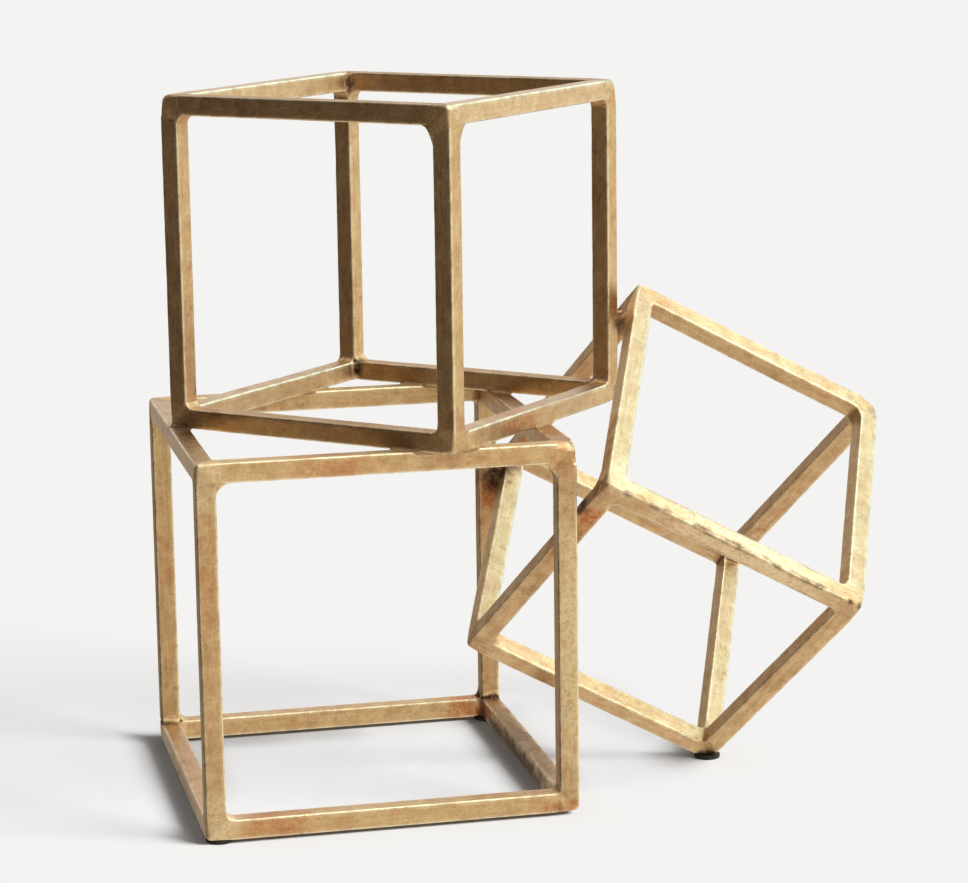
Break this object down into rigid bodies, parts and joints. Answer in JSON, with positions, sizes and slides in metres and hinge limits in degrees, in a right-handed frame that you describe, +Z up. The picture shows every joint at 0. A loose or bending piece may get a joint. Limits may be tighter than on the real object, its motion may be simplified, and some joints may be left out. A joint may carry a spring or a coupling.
{
  "type": "welded cube frame table sculpture",
  "caption": "Table sculpture of open cube frames in gold-leafed square bar: a large one on pads, a medium one turned on top, and a small one leaning on a corner, all welded together.",
  "frame": {"origin": "centre of the sculpture's footprint box, on the surface it stands on", "axes": "+Z up; +X along the large cube's front, from its left face towards the small cube; +Y from the large cube's front to its back"},
  "size_m": [0.3592, 0.2266, 0.339],
  "materials": {
    "gold_bar": "aged gold leaf over red-brown clay on steel bar, satin, rubbed through to dark brown in places, bright on worn edges",
    "weld": "weld metal dressed by hand and gilded with the bars, slightly lumpy, brown in its hollows",
    "pad": "matt black"
  },
  "bodies": {
    "root": {"large_front_left_post": "gold_bar", "large_front_right_post": "gold_bar", "large_back_left_post": "gold_bar", "large_back_right_post": "gold_bar", "large_bottom_left_rail": "gold_bar", "large_bottom_right_rail": "gold_bar", "large_bottom_front_rail": "gold_bar", "large_bottom_back_rail": "gold_bar", "large_top_left_rail": "gold_bar", "large_top_right_rail": "gold_bar", "large_top_front_rail": "gold_bar", "large_top_back_rail": "gold_bar", "medium_front_post": "gold_bar", "medium_right_post": "gold_bar", "medium_left_post": "gold_bar", "medium_back_post": "gold_bar", "medium_bottom_front_left_rail": "gold_bar", "medium_bottom_back_right_rail": "gold_bar", "medium_bottom_front_right_rail": "gold_bar", "medium_bottom_back_left_rail": "gold_bar", "medium_top_front_left_rail": "gold_bar", "medium_top_back_right_rail": "gold_bar", "medium_top_front_right_rail": "gold_bar", "medium_top_back_left_rail": "gold_bar", "small_foot_strut": "gold_bar", "small_left_strut": "gold_bar", "small_right_strut": "gold_bar", "small_crown_strut": "gold_bar", "small_front_lower_right_rail": "gold_bar", "small_front_upper_left_rail": "gold_bar", "small_front_lower_left_rail": "gold_bar", "small_front_upper_right_rail": "gold_bar", "small_rear_lower_right_rail": "gold_bar", "small_rear_upper_left_rail": "gold_bar", "small_rear_lower_left_rail": "gold_bar", "small_rear_upper_right_rail": "gold_bar", "large_corner_fillets": "weld", "medium_corner_fillets": "weld", "small_corner_fillets": "weld", "medium_seat_beads": "weld", "small_to_front_post_weld": "weld", "small_to_back_post_weld": "weld", "small_to_medium_weld": "weld", "front_left_pad": "pad", "front_right_pad": "pad", "back_left_pad": "pad", "back_right_pad": "pad", "small_cube_pad": "pad"}
  },
  "joints": []
}
